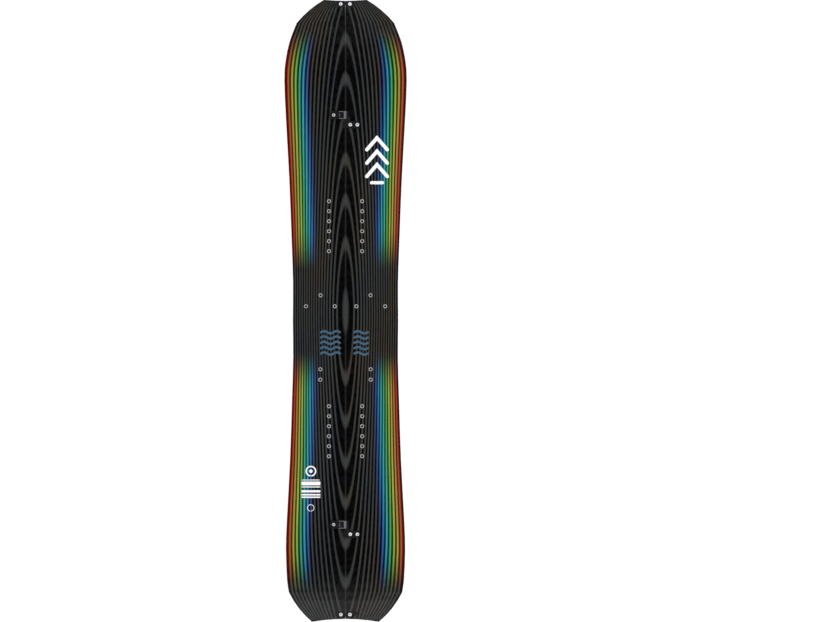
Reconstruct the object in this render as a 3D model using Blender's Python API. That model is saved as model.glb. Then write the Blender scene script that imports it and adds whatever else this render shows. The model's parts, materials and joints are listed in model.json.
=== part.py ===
"""Splitboard: a snowboard cut along its length into two skis, held together by latches.

The board lies on its base with its nose towards +Y, its length centred on Y = 0 and the seam on X = 0.
Two lever latches and two tip hooks join the halves. Lengths in this file are millimetres, which MM
turns into metres where a mesh or an object is made.
"""

import math

import bmesh
import bpy
from mathutils import Matrix, Vector

MM = 0.001

# Clearance between neighbouring pieces, and half the slot between the two skis.
GAP = 0.3
SEAM = 0.25

# Outline of one half, seen from above: X is the distance from the seam.
HALF_LENGTH = 788.4
NOSE_CENTRE_Y = 785.6
NOSE_TIP_X = 54.0
NOSE_SHOULDER = (123.5, 731.0)
NOSE_BOW = 4.0
TAIL_CENTRE_Y = -781.4
TAIL_TIP_X = 85.0
TAIL_SHOULDER = (143.8, -715.0)
TAIL_BOW = 5.0
# The sidecut, from the nose shoulder to the tail shoulder: (half width, y).
SIDECUT = (
    NOSE_SHOULDER,
    (141.4, 686.0),
    (152.3, 636.0),
    (155.6, 585.0),
    (151.2, 484.0),
    (142.8, 332.0),
    (136.9, 180.0),
    (133.3, 70.0),
    (133.8, -24.0),
    (133.0, -118.0),
    (136.0, -228.0),
    (141.0, -380.0),
    (149.2, -532.0),
    (151.6, -608.0),
    (148.4, -685.0),
    TAIL_SHOULDER,
)
SAMPLES_PER_SPAN = 2

# Side profile of the base: level contact zones, a raised level middle, and kicked-up ends.
CAMBER = 4.0
FRONT_CAMBER = (300.0, 450.0)
REAR_CAMBER = (-400.0, -515.0)
NOSE_KICK = (560.0, 735.0, math.radians(18.0))
TAIL_KICK = (-610.0, -735.0, math.radians(14.0))
BENDS_PER_CAMBER = 4
BENDS_PER_KICK = 6

# Layers, measured up from the underside of the base. The core thins towards the ends.
BASE_THICK = 1.3
LAMINATE_THICK = 0.6
CORE_THICK = 4.8
CORE_THICK_AT_TIPS = 2.4
TOPSHEET_THICK = 0.6
EDGE_LIFT = 0.15
EDGE_WIDTH = 2.0
OUTER_SIDEWALL_WIDTH = 6.0
INNER_SIDEWALL_WIDTH = 5.0

LOWER_LAMINATE_Z = BASE_THICK + GAP
CORE_Z = LOWER_LAMINATE_Z + LAMINATE_THICK + GAP
UPPER_LAMINATE_Z = CORE_Z + CORE_THICK + GAP
TOPSHEET_Z = UPPER_LAMINATE_Z + LAMINATE_THICK + GAP
BOARD_THICK = TOPSHEET_Z + TOPSHEET_THICK

# Threaded inserts: a barrel with a blind hole, standing on a thin strip buried in the core.
INSERT_RADIUS = 4.8
INSERT_HOLE_RADIUS = 2.4
INSERT_FLOOR = 1.3
INSERT_RECESS = 0.15
STRIP_THICK = 0.8
INSERT_PITCH = 25.4
BINDING_X = 42.2
BINDING_COUNT = 6
NOSE_BINDING_Y = 152.0
TAIL_BINDING_Y = -369.0
TOURING_INSERTS = ((63.5, 40.0), (100.6, 12.0), (27.4, 12.0))
HEEL_INSERTS = ((64.0, -148.0), (64.0, -174.5))
STRIP_MARGIN = 9.0

# The light inlay in the right half's base: (x, y) round a closed smooth curve.
INLAY = (
    (86, 471),
    (105, 464),
    (114, 452),
    (116.5, 426),
    (112.5, 393),
    (107.5, 355),
    (103.5, 316),
    (97, 277),
    (89, 256),
    (79, 246),
    (65, 252),
    (58, 269),
    (54, 294),
    (47, 320),
    (36, 341),
    (31.5, 364),
    (35.5, 386),
    (45, 419),
    (53, 448),
    (65, 464),
)

# Screws.
SCREW_SHANK = 2.0
SCREW_HEAD = 4.5
SMALL_HEAD = 3.5
SCREW_HOLE = SCREW_SHANK + 0.4
HEAD_HIGH = 2.0
SCREW_DEPTH = 5.5
TIP_SCREW_DEPTH = 3.4
SOCKET_RADIUS = 1.7
SOCKET_DEPTH = 1.1

# Lever latches, each in its own frame: X across the seam, Z up from the top sheet.
FRONT_LATCH_Y = 498.0
REAR_LATCH_Y = -543.0
PLATE = (GAP, GAP + 1.5)
LEVER_PIN = Vector((-9.0, 0.0, 5.2))
CLAW_PIN = Vector((-15.0, 0.0, 4.4))
PIN_RADIUS = 1.2
CLAW_EYE = 2.2
PIN_HOLE = PIN_RADIUS + GAP
LUG_HALF_WIDTH = 3.9
ARM = (LUG_HALF_WIDTH + GAP, 7.7)
BAIL = (ARM[1] + GAP, 9.7)
LATCH_HALF_WIDTH = 10.0
LATCH_SCREWS_X = (-30.0, -21.5)
CATCH_SCREWS_X = (12.0, 30.0)
CATCH_ARM_Y = -24.5
CATCH_LIP = (-2.9, -1.6)

# Tip latches, each in a frame on the sloping tip: X towards the post, Y towards the tip.
TIP_LATCH_Y = 779.0
TAIL_LATCH_Y = -771.0
TIP_SCREW_X = 11.6
TIP_PLATE = (GAP, GAP + 1.0)
HOOK = (TIP_PLATE[1] + GAP, TIP_PLATE[1] + GAP + 2.0)
BUSH_OUTER = 3.3
BUSH_INNER = SCREW_SHANK + GAP
HOOK_EYE = 5.5
HOOK_HOLE = BUSH_OUTER + GAP
POST_SLOT = SCREW_SHANK + 0.4

COLOURS = {
    "topsheet": ((0.012, 0.012, 0.013, 1.0), 0.25, 0.0),
    "laminate": ((0.55, 0.56, 0.42, 1.0), 0.5, 0.0),
    "core": ((0.62, 0.44, 0.24, 1.0), 0.6, 0.0),
    "base": ((0.01, 0.01, 0.011, 1.0), 0.4, 0.0),
    "inlay": ((0.8, 0.8, 0.79, 1.0), 0.4, 0.0),
    "steel_edge": ((0.35, 0.35, 0.36, 1.0), 0.35, 1.0),
    "sidewall": ((0.015, 0.015, 0.016, 1.0), 0.45, 0.0),
    "insert": ((0.6, 0.6, 0.6, 1.0), 0.3, 1.0),
    "screw": ((0.7, 0.7, 0.71, 1.0), 0.25, 1.0),
    "clip": ((0.02, 0.02, 0.022, 1.0), 0.35, 1.0),
    "clip_bright": ((0.4, 0.4, 0.41, 1.0), 0.3, 1.0),
}


# ---------------------------------------------------------------- scene helpers


def clear_scene():
    for old in list(bpy.data.objects):
        bpy.data.objects.remove(old)


def material(name):
    found = bpy.data.materials.get(name)
    if found:
        return found
    colour, roughness, metallic = COLOURS[name]
    made = bpy.data.materials.new(name)
    made.use_nodes = True
    shader = made.node_tree.nodes["Principled BSDF"]
    shader.inputs["Base Color"].default_value = colour
    shader.inputs["Roughness"].default_value = roughness
    shader.inputs["Metallic"].default_value = metallic
    made.diffuse_color = colour
    return made


def empty(name, location=(0, 0, 0), turn=None):
    made = bpy.data.objects.new(name, None)
    bpy.context.collection.objects.link(made)
    made.matrix_world = Matrix.Translation(Vector(location) * MM) @ (turn or Matrix())
    return made


def solid(name, mesh_data, look, parent=None, origin=(0, 0, 0)):
    """An object of a bmesh drawn in millimetres in its parent's frame, with its origin at a chosen point."""
    bmesh.ops.translate(mesh_data, verts=mesh_data.verts, vec=-Vector(origin))
    bmesh.ops.scale(mesh_data, verts=mesh_data.verts, vec=(MM, MM, MM))
    bmesh.ops.recalc_face_normals(mesh_data, faces=mesh_data.faces)
    mesh = bpy.data.meshes.new(name)
    mesh_data.to_mesh(mesh)
    mesh_data.free()
    made = bpy.data.objects.new(name, mesh)
    bpy.context.collection.objects.link(made)
    made.parent = parent
    made.location = Vector(origin) * MM
    if look:
        mesh.materials.append(material(look))
    return made


def combine(target, shapes, operation):
    """Join shapes to the target, or cut them from it, and keep the resulting mesh."""
    for shape in shapes:
        tool = solid("tool", shape, None, target.parent)
        modifier = target.modifiers.new("shape", "BOOLEAN")
        modifier.operation = operation
        modifier.solver = "EXACT"
        modifier.object = tool
        bpy.context.view_layer.update()
        graph = bpy.context.evaluated_depsgraph_get()
        shaped = bpy.data.meshes.new_from_object(target.evaluated_get(graph))
        shaped.name = target.name
        target.modifiers.clear()
        target.data = shaped
        bpy.data.objects.remove(tool)
    return target


def join(target, *shapes):
    return combine(target, shapes, "UNION")


def cut(target, *shapes):
    return combine(target, shapes, "DIFFERENCE")


def smooth(target):
    target.data.shade_smooth()
    target.data.set_sharp_from_angle(angle=math.radians(40.0))
    return target


# ---------------------------------------------------------------- shapes


def prism(points, low, high, axis="Z"):
    """An outline pulled along an axis: points are (x, y) for Z and (x, z) for Y."""
    made = bmesh.new()

    def place(a, b, along):
        return (a, b, along) if axis == "Z" else (a, along, b)

    bottom = [made.verts.new(place(a, b, low)) for a, b in points]
    top = [made.verts.new(place(a, b, high)) for a, b in points]
    made.faces.new(bottom)
    made.faces.new(reversed(top))
    for i in range(len(points)):
        j = (i + 1) % len(points)
        made.faces.new((bottom[j], bottom[i], top[i], top[j]))
    bmesh.ops.recalc_face_normals(made, faces=made.faces)
    return made


def circle(centre, radius, sides, turn=0.0):
    step = 2.0 * math.pi / sides
    return [
        (centre[0] + radius * math.cos(turn + step * i), centre[1] + radius * math.sin(turn + step * i))
        for i in range(sides)
    ]


def around(centre, radius, sides):
    """A polygon whose flats, not corners, touch the circle, so a hole clears its round piece."""
    return circle(centre, radius / math.cos(math.pi / sides), sides, math.pi / sides)


def holes(centres, radius, low, high, sides=8):
    """Several separate round cutters in one bmesh."""
    made = bmesh.new()
    for centre in centres:
        one = prism(around(centre, radius, sides), low, high)
        mesh = bpy.data.meshes.new("hole")
        one.to_mesh(mesh)
        one.free()
        made.from_mesh(mesh)
        bpy.data.meshes.remove(mesh)
    return made


def box(low, high):
    (x0, y0, z0), (x1, y1, z1) = low, high
    return prism(((x0, y0), (x1, y0), (x1, y1), (x0, y1)), z0, z1)


def turned(profile, sides=10):
    """A solid of revolution about Z, from a (radius, z) profile that starts and ends on the axis."""
    made = bmesh.new()
    rings = []
    for radius, height in profile[1:-1]:
        rings.append([made.verts.new((x, y, height)) for x, y in circle((0, 0), radius, sides)])
    made.faces.new(reversed(rings[0]))
    made.faces.new(rings[-1])
    for low, high in zip(rings, rings[1:]):
        for i in range(sides):
            j = (i + 1) % sides
            made.faces.new((low[i], low[j], high[j], high[i]))
    return made


def arc(radius, angles, centre_x=0.0):
    """Points on a circle about a place on the X axis, at angles in degrees."""
    turns = [math.radians(angle) for angle in angles]
    return [(centre_x + radius * math.cos(turn), radius * math.sin(turn)) for turn in turns]


def spline(points, steps, closed=False):
    """Catmull-Rom curve through the points."""
    count = len(points)
    spans = count if closed else count - 1
    curve = []
    for i in range(spans):
        if closed:
            a, b, c, d = (Vector(points[(i + k - 1) % count]) for k in range(4))
        else:
            b, c = Vector(points[i]), Vector(points[i + 1])
            a = Vector(points[i - 1]) if i else 2 * b - c
            d = Vector(points[i + 2]) if i + 2 < count else 2 * c - b
        for k in range(steps):
            t = k / steps
            bend = 2 * b + (c - a) * t + (2 * a - 5 * b + 4 * c - d) * t**2
            curve.append(0.5 * (bend + (3 * b - a - 3 * c + d) * t**3))
    if not closed:
        curve.append(Vector(points[-1]))
    return [(p.x, p.y) for p in curve]


def bow(start, end, rise, steps):
    """Points from start up to, not including, end, along a shallow arch on the left of the way there."""
    a, b = Vector(start), Vector(end)
    side = Vector((a.y - b.y, b.x - a.x)).normalized()
    points = []
    for i in range(steps):
        t = i / steps
        p = a.lerp(b, t) + side * rise * 4.0 * t * (1.0 - t)
        points.append((p.x, p.y))
    return points


def offset(points, distance, closed=False):
    """The same run of points moved sideways, to the right of the way along it, by a distance."""
    moved = []
    last = len(points) - 1
    for i, point in enumerate(points):
        p = Vector(point)
        before = Vector(points[i - 1]) if i or closed else None
        after = Vector(points[(i + 1) % len(points)]) if i < last or closed else None
        normals = []
        for a, b in ((before, p), (p, after)):
            if a is not None and b is not None:
                way = (b - a).normalized()
                normals.append(Vector((way.y, -way.x)))
        normal = sum(normals, Vector((0, 0))).normalized()
        stretch = max(normal.dot(normals[0]), 0.5)
        p = p + normal * distance / stretch
        moved.append((p.x, p.y))
    return moved


# ---------------------------------------------------------------- the board's form


def half_outline():
    """Outer contour of the right half, from the nose at the seam round to the tail at the seam."""
    nose_tip = (NOSE_TIP_X, HALF_LENGTH)
    tail_tip = (TAIL_TIP_X, -HALF_LENGTH)
    points = bow((0.0, NOSE_CENTRE_Y), nose_tip, -0.6, 2)
    points += bow(nose_tip, NOSE_SHOULDER, NOSE_BOW, 4)
    points += spline(SIDECUT, SAMPLES_PER_SPAN)[:-1]
    points += bow(TAIL_SHOULDER, tail_tip, TAIL_BOW, 4)
    points += bow(tail_tip, (0.0, TAIL_CENTRE_Y), -1.8, 3)
    return points + [(0.0, TAIL_CENTRE_Y)]


def contour(inset, seam):
    """The outer contour moved inwards, with both ends brought to a distance from the seam."""
    points = offset(half_outline(), inset)
    points[0] = (seam, points[0][1])
    points[-1] = (seam, points[-1][1])
    return points


def ease(t):
    return t * t * (3.0 - 2.0 * t)


def base_height(y):
    """Height of the underside of the base above the floor."""
    for start, end, angle in (NOSE_KICK, TAIL_KICK):
        run = abs(end - start)
        beyond = (y - start) * math.copysign(1.0, end)
        if beyond > 0.0:
            radius = run / math.sin(angle)
            curved = min(beyond, run)
            rise = radius - math.sqrt(radius**2 - curved**2)
            return rise + max(beyond - run, 0.0) * math.tan(angle)
    for inner, outer in (FRONT_CAMBER, REAR_CAMBER):
        if (y - inner) * math.copysign(1.0, outer) > 0.0:
            t = min((y - inner) / (outer - inner), 1.0)
            return CAMBER * (1.0 - ease(t))
    return CAMBER


def core_thinning(y):
    """How much thinner the core is here than in the middle."""
    for start, end, _ in (NOSE_KICK, TAIL_KICK):
        t = (y - start) / (end - start)
        if t > 0.0:
            return (CORE_THICK - CORE_THICK_AT_TIPS) * min(t, 1.0)
    return 0.0


def bend_stations():
    """Where the side profile changes slope, so where every layer is creased."""
    stations = []
    for start, end, count in (
        (*FRONT_CAMBER, BENDS_PER_CAMBER),
        (*REAR_CAMBER, BENDS_PER_CAMBER),
        (*NOSE_KICK[:2], BENDS_PER_KICK),
        (*TAIL_KICK[:2], BENDS_PER_KICK),
    ):
        stations += [start + (end - start) * i / count for i in range(count + 1)]
    return stations


def profile_height(y):
    """Base height by straight runs between the stations, which is how the creased layers lie."""
    stations = sorted(bend_stations())
    for a, b in zip(stations, stations[1:]):
        if a <= y <= b:
            t = (y - a) / (b - a)
            return base_height(a) * (1.0 - t) + base_height(b) * t
    return base_height(y)


def layer(points, low, high, side):
    """A flat outline given the board's side profile: low and high count up from the base's underside."""
    made = prism([(side * x, y) for x, y in points], 0.0, 1.0)
    for y in bend_stations():
        geometry = made.verts[:] + made.edges[:] + made.faces[:]
        bmesh.ops.bisect_plane(made, geom=geometry, plane_co=(0, y, 0), plane_no=(0, 1, 0), dist=1e-5)
    for vertex in made.verts:
        level = high if vertex.co.z > 0.5 else low
        thinning = core_thinning(vertex.co.y) if level > CORE_Z + GAP else 0.0
        vertex.co.z = profile_height(vertex.co.y) + level - thinning
    return made


def band(outer, inner, seam):
    """The strip between two insets of the outer contour."""
    return contour(outer, seam) + list(reversed(contour(inner, seam)))


def seam_strip(width, end_inset):
    """A straight strip along the seam, between the end stretches of an outer band."""
    points = contour(end_inset, SEAM)
    top, bottom = points[0][1], points[-1][1]
    return ((SEAM, bottom), (SEAM + width, bottom), (SEAM + width, top), (SEAM, top))


def top_height(y):
    return profile_height(y) + BOARD_THICK - core_thinning(y)


# ---------------------------------------------------------------- inserts


def binding_row(first_y):
    return tuple((BINDING_X, first_y + INSERT_PITCH * i) for i in range(BINDING_COUNT))


def strip_round(centres):
    """A straight-sided strip outline round inserts in line along Y."""
    x = centres[0][0]
    ys = [y for _, y in centres]
    low, high = min(ys) - STRIP_MARGIN, max(ys) + STRIP_MARGIN
    left, right = x - STRIP_MARGIN, x + STRIP_MARGIN
    return [(left, high), (right, high), (right, low), (left, low)]


def touring_outline():
    apex, right, left = TOURING_INSERTS
    low = right[1] - STRIP_MARGIN
    return [
        (left[0] - STRIP_MARGIN, low),
        (left[0] - STRIP_MARGIN, left[1] + STRIP_MARGIN),
        (apex[0] - STRIP_MARGIN / 2, apex[1] + STRIP_MARGIN),
        (apex[0] + STRIP_MARGIN / 2, apex[1] + STRIP_MARGIN),
        (right[0] + STRIP_MARGIN, right[1] + STRIP_MARGIN),
        (right[0] + STRIP_MARGIN, low),
    ]


def insert_groups():
    front, rear = binding_row(NOSE_BINDING_Y), binding_row(TAIL_BINDING_Y)
    return {
        "front_binding_inserts": (front, strip_round(front)),
        "rear_binding_inserts": (rear, strip_round(rear)),
        "touring_inserts": (TOURING_INSERTS, touring_outline()),
        "heel_inserts": (HEEL_INSERTS, strip_round(HEEL_INSERTS)),
    }


def mirrored(points, side):
    return [(side * x, y) for x, y in points]


def add_inserts(prefix, side, parent):
    floor = CAMBER + CORE_Z
    rim = CAMBER + BOARD_THICK - INSERT_RECESS
    for name, (centres, outline) in insert_groups().items():
        spots = mirrored(centres, side)
        strip = prism(mirrored(outline, side), floor, floor + STRIP_THICK)
        group = solid(f"{prefix}_{name}", strip, "insert", parent)
        for spot in spots:
            join(group, prism(circle(spot, INSERT_RADIUS, 8), floor + STRIP_THICK / 2, rim))
        cut(group, holes(spots, INSERT_HOLE_RADIUS, floor + INSERT_FLOOR, rim + 1.0, 6))
        group.data.materials.clear()
        group.data.materials.append(material("insert"))


# ---------------------------------------------------------------- screw places


def latch_frames():
    """The frames of the four latches: name to matrix, in millimetres."""
    nose_turn = Matrix.Rotation(NOSE_KICK[2], 4, "X")
    tail_turn = Matrix.Rotation(math.pi, 4, "Z") @ Matrix.Rotation(TAIL_KICK[2], 4, "X")
    places = {
        "front": (FRONT_LATCH_Y, Matrix()),
        "rear": (REAR_LATCH_Y, Matrix()),
        "nose": (TIP_LATCH_Y, nose_turn),
        "tail": (TAIL_LATCH_Y, tail_turn),
    }
    return {
        name: Matrix.Translation((0.0, y, top_height(y))) @ turn for name, (y, turn) in places.items()
    }


def screw_bore(frame, x, y, depth):
    """The cutter for a screw's hole in the board, square to the top sheet."""
    made = holes([(x, y)], SCREW_HOLE, -depth, 2.0, 6)
    bmesh.ops.transform(made, matrix=frame, verts=made.verts)
    return made


def screw_bores(side):
    """Every latch screw's hole in one half of the board."""
    frames = latch_frames()
    through_core = BOARD_THICK - CORE_Z + GAP / 2
    through_tip = through_core - (CORE_THICK - CORE_THICK_AT_TIPS)
    bores = []
    for name in ("front", "rear"):
        spots = [(x, 0.0) for x in LATCH_SCREWS_X] + [(x, CATCH_ARM_Y) for x in CATCH_SCREWS_X]
        bores += [screw_bore(frames[name], x, y, through_core) for x, y in spots if x * side > 0.0]
    for name in ("nose", "tail"):
        facing = 1.0 if name == "nose" else -1.0
        bores.append(screw_bore(frames[name], side * facing * TIP_SCREW_X, 0.0, through_tip))
    return bores


# ---------------------------------------------------------------- one half of the board


def add_half(prefix, side, parent):
    laminate = contour(GAP, SEAM + GAP)
    core = contour(OUTER_SIDEWALL_WIDTH + GAP, SEAM + INNER_SIDEWALL_WIDTH + GAP)
    core_top = CORE_Z + CORE_THICK
    below = LOWER_LAMINATE_Z + LAMINATE_THICK
    above = UPPER_LAMINATE_Z + LAMINATE_THICK
    outer_wall = band(0.0, OUTER_SIDEWALL_WIDTH, SEAM)
    inner_wall = seam_strip(INNER_SIDEWALL_WIDTH, OUTER_SIDEWALL_WIDTH + GAP)
    outer_rim = band(0.0, EDGE_WIDTH, SEAM)
    inner_rim = seam_strip(EDGE_WIDTH, EDGE_WIDTH + GAP)
    base = contour(EDGE_WIDTH + GAP, SEAM + EDGE_WIDTH + GAP)
    rows = (
        ("topsheet", contour(0.0, SEAM), TOPSHEET_Z, BOARD_THICK, "topsheet"),
        ("upper_laminate", laminate, UPPER_LAMINATE_Z, above, "laminate"),
        ("core", core, CORE_Z, core_top, "core"),
        ("lower_laminate", laminate, LOWER_LAMINATE_Z, below, "laminate"),
        ("base", base, 0.0, BASE_THICK, "base"),
        ("outer_sidewall", outer_wall, CORE_Z, core_top, "sidewall"),
        ("inner_sidewall", inner_wall, CORE_Z, core_top, "sidewall"),
        ("outer_edge", outer_rim, EDGE_LIFT, BASE_THICK, "steel_edge"),
        ("inner_edge", inner_rim, EDGE_LIFT, BASE_THICK, "steel_edge"),
    )
    made = {}
    for name, points, low, high, look in rows:
        made[name] = solid(f"{prefix}_{name}", layer(points, low, high, side), look, parent)
    pierce(made, side)
    return made


def pierce(layers, side):
    """Holes for the inserts and the latch screws, and the channels for the insert strips."""
    spots = [spot for centres, _ in insert_groups().values() for spot in centres]
    low, high = CAMBER + CORE_Z - 0.2, CAMBER + BOARD_THICK + 1.0
    for name, sides in (("topsheet", 8), ("upper_laminate", 6), ("core", 6)):
        cut(layers[name], holes(mirrored(spots, side), INSERT_RADIUS + GAP, low, high, sides))
        cut(layers[name], *screw_bores(side))
    cut(layers["outer_sidewall"], *screw_bores(side)[-2:])
    for _, outline in insert_groups().values():
        roomy = offset(outline, -GAP, closed=True)
        channel = prism(mirrored(roomy, side), low, CAMBER + CORE_Z + STRIP_THICK + GAP)
        cut(layers["core"], channel)


def add_inlay(base, parent):
    shape = spline(INLAY, 2, closed=True)
    solid("right_base_inlay", layer(shape, 0.0, BASE_THICK, 1.0), "inlay", parent)
    cut(base, prism(offset(shape, -GAP, closed=True), -1.0, CAMBER + BASE_THICK + 1.0))


# ---------------------------------------------------------------- latch pieces


def add_screw(name, spot, seat, depth, parent, head=SCREW_HEAD, look="screw"):
    """A socket screw square to the top sheet; its head rests a gap above seat."""
    under = seat + GAP
    top = under + HEAD_HIGH
    profile = (
        (0.0, -depth),
        (SCREW_SHANK, -depth),
        (SCREW_SHANK, under),
        (head, under),
        (head, top - 0.5),
        (head - 0.6, top),
        (SOCKET_RADIUS, top),
        (SOCKET_RADIUS, top - SOCKET_DEPTH),
        (0.0, top - SOCKET_DEPTH),
    )
    screw = turned(profile)
    origin = (spot[0], spot[1], 0.0)
    bmesh.ops.translate(screw, verts=screw.verts, vec=origin)
    return smooth(solid(name, screw, look, parent, origin))


def pin_rod(centre, half_length, radius=PIN_RADIUS):
    """A rod along Y through a point."""
    return prism(circle((centre.x, centre.z), radius, 10), -half_length, half_length, "Y")


def slab(points, low, high):
    """A side view, (x, z), pulled along Y."""
    return prism(points, low, high, "Y")


def add_lever_base(name, parent):
    left, right = -37.0, -4.6
    half = LATCH_HALF_WIDTH
    plate = box((left, -half, PLATE[0]), (right, half, PLATE[1]))
    base = solid(name, plate, "clip", parent)
    x, z = LEVER_PIN.x, LEVER_PIN.z
    lug_right = [(x + 3.2, 1.0), (x + 3.2, z + 1.0), (x + 1.6, z + 2.6)]
    lug_left = [(x - 1.6, z + 2.6), (x - 3.2, z + 1.0), (x - 3.2, 1.0)]
    join(base, slab(lug_right + lug_left, -LUG_HALF_WIDTH, LUG_HALF_WIDTH))
    cut(base, pin_rod(LEVER_PIN, LATCH_HALF_WIDTH, PIN_HOLE))
    cut(base, holes([(x, 0.0) for x in LATCH_SCREWS_X], SCREW_HOLE, -1.0, 3.0))
    return base


def add_lever(name, parent):
    """A flat thumb plate, rounded at its free end, on two arms that hold both pins."""
    low, high = 4.4, 7.0
    corner = -34.0
    end = spline(((corner, -10.0), (-38.4, -7.4), (-40.6, 0.0), (-38.4, 7.4), (corner, 10.0)), 2)
    outline = [(-21.0, 10.0), (-21.0, -10.0)] + end
    lever = solid(name, prism(outline, low, high), "clip", parent, LEVER_PIN)
    under = [(-24.0, 4.7), (-17.5, 2.3), (-12.6, 2.3), (-6.4, 3.6)]
    side_view = under + [(-6.4, 6.3), (-8.0, high), (-24.0, high)]
    join(lever, slab(side_view, *ARM), slab(side_view, -ARM[1], -ARM[0]))
    pins = [pin_rod(LEVER_PIN, LATCH_HALF_WIDTH, PIN_HOLE), pin_rod(CLAW_PIN, LATCH_HALF_WIDTH, PIN_HOLE)]
    cut(lever, *pins)
    window = holes([(LATCH_SCREWS_X[0], 0.0)], SCREW_HEAD + 0.6, 3.0, 9.0, 12)
    return cut(lever, window)


def add_claw(name, parent):
    """A bail whose side bars carry the claw pin and whose front bar hooks down behind the catch's lip."""
    heel = [(CLAW_PIN.x + x, CLAW_PIN.z + z) for x, z in circle((0.0, 0.0), CLAW_EYE, 16)[4:14]]
    side_view = heel + [(-9.0, 3.6), (-4.9, 3.9), (-3.0, 4.6), (-3.0, 6.1), (-4.9, 6.3), (-11.0, 6.3)]
    front = [(-4.3, 4.2), (0.5, 4.2), (0.5, 2.1), (2.0, 2.1), (2.0, 5.6), (1.0, 6.6), (-4.3, 6.6)]
    claw = solid(name, slab(front, -BAIL[1], BAIL[1]), "clip_bright", parent, CLAW_PIN)
    join(claw, slab(side_view, *BAIL), slab(side_view, -BAIL[1], -BAIL[0]))
    return cut(claw, pin_rod(CLAW_PIN, LATCH_HALF_WIDTH + 2.0, PIN_HOLE))


def add_catch(name, parent):
    """An L-shaped plate: a leg under the claw with an upturned lip, and a screwed arm with a tongue."""
    arm_low, arm_high = CATCH_ARM_Y - 9.0, CATCH_ARM_Y + 9.0
    left, right = CATCH_LIP[0], 36.0
    outline = [
        (left, 9.5),
        (8.0, 9.5),
        (8.0, arm_high + 4.0),
        (12.0, arm_high),
        (right - 3.0, arm_high),
        (right, arm_high - 3.0),
        (right, arm_low + 3.0),
        (right - 3.0, arm_low),
        (-5.0, arm_low),
        (-8.0, arm_low + 3.0),
        (-8.0, arm_high - 3.0),
        (-5.0, arm_high),
        (left, arm_high),
    ]
    catch = solid(name, prism(outline, *PLATE), "clip", parent)
    join(catch, box((CATCH_LIP[0], -7.0, 1.0), (CATCH_LIP[1], 7.0, 3.1)))
    return cut(catch, holes([(x, CATCH_ARM_Y) for x in CATCH_SCREWS_X], SCREW_HOLE, -1.0, 3.0))


def add_lever_latch(end, left, right):
    """The front or rear latch: lever side on the left half, catch on the right half."""
    frame = latch_frames()[end]
    here = frame.translation
    left_frame = empty(f"{end}_latch_left_frame", here)
    left_frame.parent = left
    right_frame = empty(f"{end}_latch_right_frame", here)
    right_frame.parent = right
    add_lever_base(f"{end}_lever_base", left_frame)
    names = ("outer", "inner")
    for which, x, head in zip(names, LATCH_SCREWS_X, (SCREW_HEAD, SMALL_HEAD)):
        add_screw(f"{end}_lever_base_{which}_screw", (x, 0.0), PLATE[1], SCREW_DEPTH, left_frame, head)
    smooth(solid(f"{end}_lever_pin", pin_rod(LEVER_PIN, ARM[1]), "clip_bright", left_frame, LEVER_PIN))
    add_lever(f"{end}_lever", left_frame)
    smooth(solid(f"{end}_claw_pin", pin_rod(CLAW_PIN, BAIL[1]), "clip_bright", left_frame, CLAW_PIN))
    add_claw(f"{end}_claw", left_frame)
    add_catch(f"{end}_catch_plate", right_frame)
    for which, x in zip(("inner", "outer"), CATCH_SCREWS_X):
        add_screw(f"{end}_catch_{which}_screw", (x, CATCH_ARM_Y), PLATE[1], SCREW_DEPTH, right_frame)


def hook_outline():
    """The hook about its pivot: an eye, an arm to the post's open slot, and a thumb tab."""
    reach = 2.0 * TIP_SCREW_X
    slot = arc(POST_SLOT, range(180, -1, -30), reach)
    jaw = [(reach + 4.0, -0.4), (reach + 5.0, 0.8), (reach + 4.4, 4.4), (reach + 1.6, 6.8)]
    mouth = arc(reach - POST_SLOT, (-12.0, -6.0))
    top = [(6.0, 5.2)]
    eye = arc(HOOK_EYE, (75, 100, 125, 150))
    tab = [(-9.0, 0.6), (-17.0, -1.2), (-20.2, -3.4), (-19.4, -6.6), (-15.0, -7.4), (-7.0, -5.2)]
    under = arc(HOOK_EYE, (250, 275))
    return slot + jaw + top + eye + tab + under + [(8.0, -4.3)] + mouth


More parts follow.
